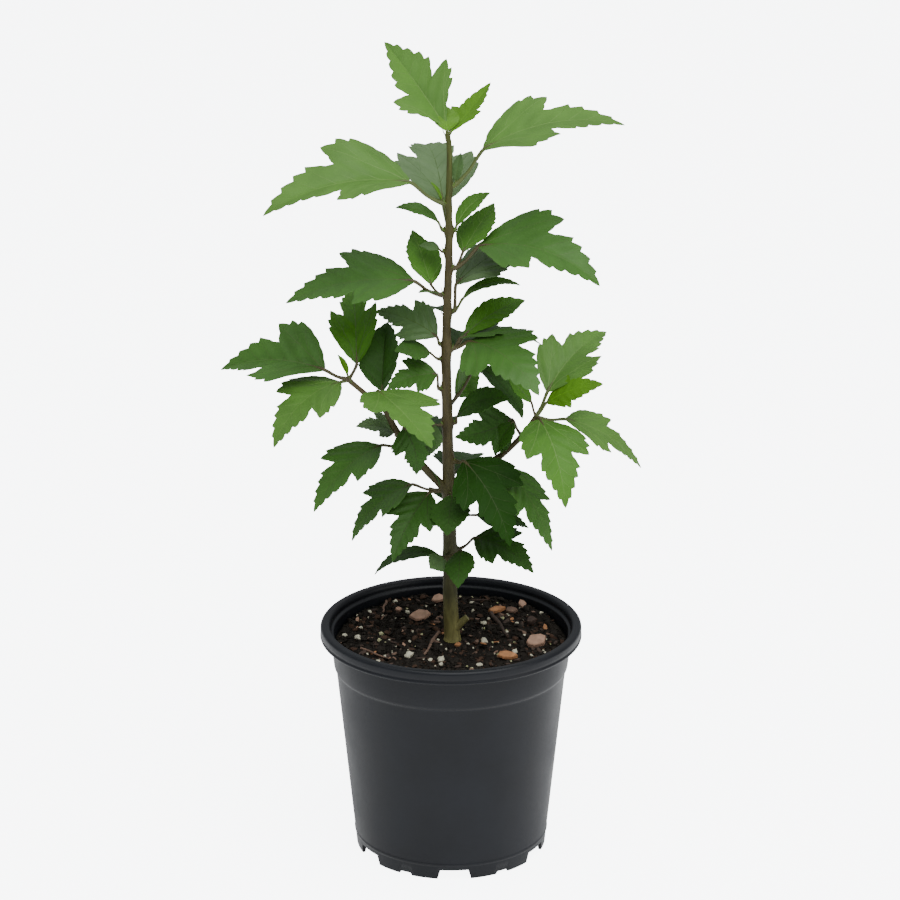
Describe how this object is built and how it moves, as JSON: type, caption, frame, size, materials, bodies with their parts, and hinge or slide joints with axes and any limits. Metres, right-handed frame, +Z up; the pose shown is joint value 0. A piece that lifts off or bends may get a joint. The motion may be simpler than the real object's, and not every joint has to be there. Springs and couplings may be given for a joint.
{
  "type": "potted hibiscus shrub",
  "caption": "Young hibiscus shrub with an upright stem, two side boughs and lobed toothed leaves, standing in a round plastic nursery pot of potting mix.",
  "frame": {"origin": "centre of the pot's flat underside, at the floor", "axes": "+Z up along the stem, -Y towards the viewer, +X to the viewer's right"},
  "size_m": [0.262, 0.165, 0.5181],
  "materials": {
    "pot": "satin black, faintly dusty",
    "potting_mix": "rough dark mix with bark chips and white grains",
    "bark": "smooth young bark, olive brown",
    "leaves": "thin green leaf, soft sheen"
  },
  "bodies": {
    "root": {"pot": "pot", "potting_mix": "potting_mix", "stem": "bark", "left_bough": "bark", "right_bough": "bark", "crown": "leaves", "shoot_17": "leaves", "shoot_16": "leaves", "shoot_15": "leaves", "shoot_14": "leaves", "shoot_13": "leaves", "shoot_12": "leaves", "shoot_12_left": "leaves", "shoot_11": "leaves", "shoot_10": "leaves", "shoot_9_back": "leaves", "shoot_9": "leaves", "shoot_8_back": "leaves", "shoot_8": "leaves", "shoot_7": "leaves", "shoot_6": "leaves", "shoot_5": "leaves", "shoot_4": "leaves", "shoot_4_left": "leaves", "shoot_3_back": "leaves", "shoot_3": "leaves", "shoot_2_back": "leaves", "shoot_2_left": "leaves", "shoot_2_front": "leaves", "shoot_1_back": "leaves", "shoot_1_right": "leaves", "shoot_1_low": "leaves", "shoot_1": "leaves", "left_shoot_tip": "leaves", "left_shoot_3": "leaves", "left_shoot_2": "leaves", "left_shoot_1": "leaves", "right_shoot_tip": "leaves", "right_shoot_2": "leaves", "right_shoot_1": "leaves"}
  },
  "joints": []
}
